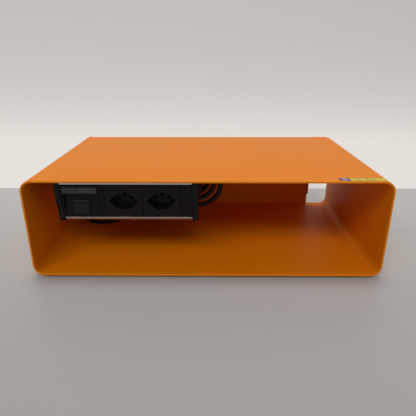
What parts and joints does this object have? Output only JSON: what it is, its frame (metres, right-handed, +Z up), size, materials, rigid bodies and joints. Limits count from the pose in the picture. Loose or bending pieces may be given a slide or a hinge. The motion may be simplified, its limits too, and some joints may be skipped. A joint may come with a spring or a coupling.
{
  "type": "desk power station",
  "caption": "Low bent-sheet desk sleeve, open at the front, that carries a tilted power and data module under its top, with a tied mains cord behind it.",
  "frame": {"origin": "on the desk, under the middle of the sleeve's footprint", "axes": "+X to the user's right along the sleeve, +Y from the open front to the rear panel, +Z up"},
  "size_m": [0.48, 0.288, 0.1401],
  "materials": {
    "orange_powder_coat": "fine orange-peel powder coat, satin",
    "anodised_rail": "clear anodised extrusion",
    "black_moulding": "fine spark-eroded texture",
    "grey_moulding": "satin",
    "ivory_moulding": "satin",
    "window_plastic": "clear moulded",
    "card": "matt",
    "printed_label": "printed film, plain colour fields",
    "clear_foot": "clear soft polyurethane",
    "black_cord": "matt flexible sheath",
    "blackened_steel": "blackened",
    "zinc_steel": "zinc plated",
    "spring_steel": "bright drawn",
    "brass_contacts": "bright",
    "gold_contacts": "gold flashed",
    "nickel_pins": "nickel plated",
    "brown_wire": "insulated",
    "blue_wire": "insulated",
    "green_yellow_wire": "insulated"
  },
  "bodies": {
    "housing": {"sleeve": "orange_powder_coat", "rear_panel": "orange_powder_coat", "rear_panel_screws": "blackened_steel", "rear_panel_nuts": "orange_powder_coat", "foot_front_left": "clear_foot", "foot_front_right": "clear_foot", "foot_rear_left": "clear_foot", "foot_rear_right": "clear_foot", "foot_front_centre": "clear_foot", "asset_label": "printed_label", "rail": "anodised_rail", "end_cap_left": "black_moulding", "end_cap_right": "black_moulding", "end_cap_screws": "blackened_steel", "data_insert": "black_moulding", "label_window": "window_plastic", "label_card": "card", "flap_pin": "spring_steel", "flap_spring": "spring_steel", "data_jack": "black_moulding", "data_jack_contacts": "gold_contacts", "spacer_strip": "black_moulding", "socket_left_face": "black_moulding", "socket_right_face": "black_moulding", "socket_left_base": "black_moulding", "socket_right_base": "black_moulding", "socket_left_contacts": "brass_contacts", "socket_right_contacts": "brass_contacts", "socket_left_housing": "grey_moulding", "socket_right_housing": "grey_moulding", "blank_cover": "black_moulding", "line_wire": "brown_wire", "neutral_wire": "blue_wire", "earth_wire": "green_yellow_wire", "terminal_block": "ivory_moulding", "cord_cores": "brown_wire", "cord_clamp": "grey_moulding", "clamp_screws": "zinc_steel", "strain_relief": "black_cord", "hanger_bracket_left": "zinc_steel", "hanger_bracket_right": "zinc_steel", "bracket_screws": "zinc_steel", "weld_studs": "zinc_steel", "stud_nuts": "zinc_steel", "tie_base": "black_moulding", "tie_strap": "black_moulding", "cord_lead": "black_cord", "cord_hank": "black_cord", "cord_tail": "black_cord", "plug_body": "black_cord", "plug_pins": "nickel_pins"},
    "flap": {"dust_flap": "grey_moulding"}
  },
  "joints": [
    {"name": "dust_flap_hinge", "type": "hinge", "parent": "housing", "child": "flap", "pos_m": [-0.169, -0.1256, 0.1071], "axis": [-1, 0, 0], "range_deg": [0, 85], "stiffness_Nm_per_rad": 0.0005, "springref_deg": -28.65}
  ]
}
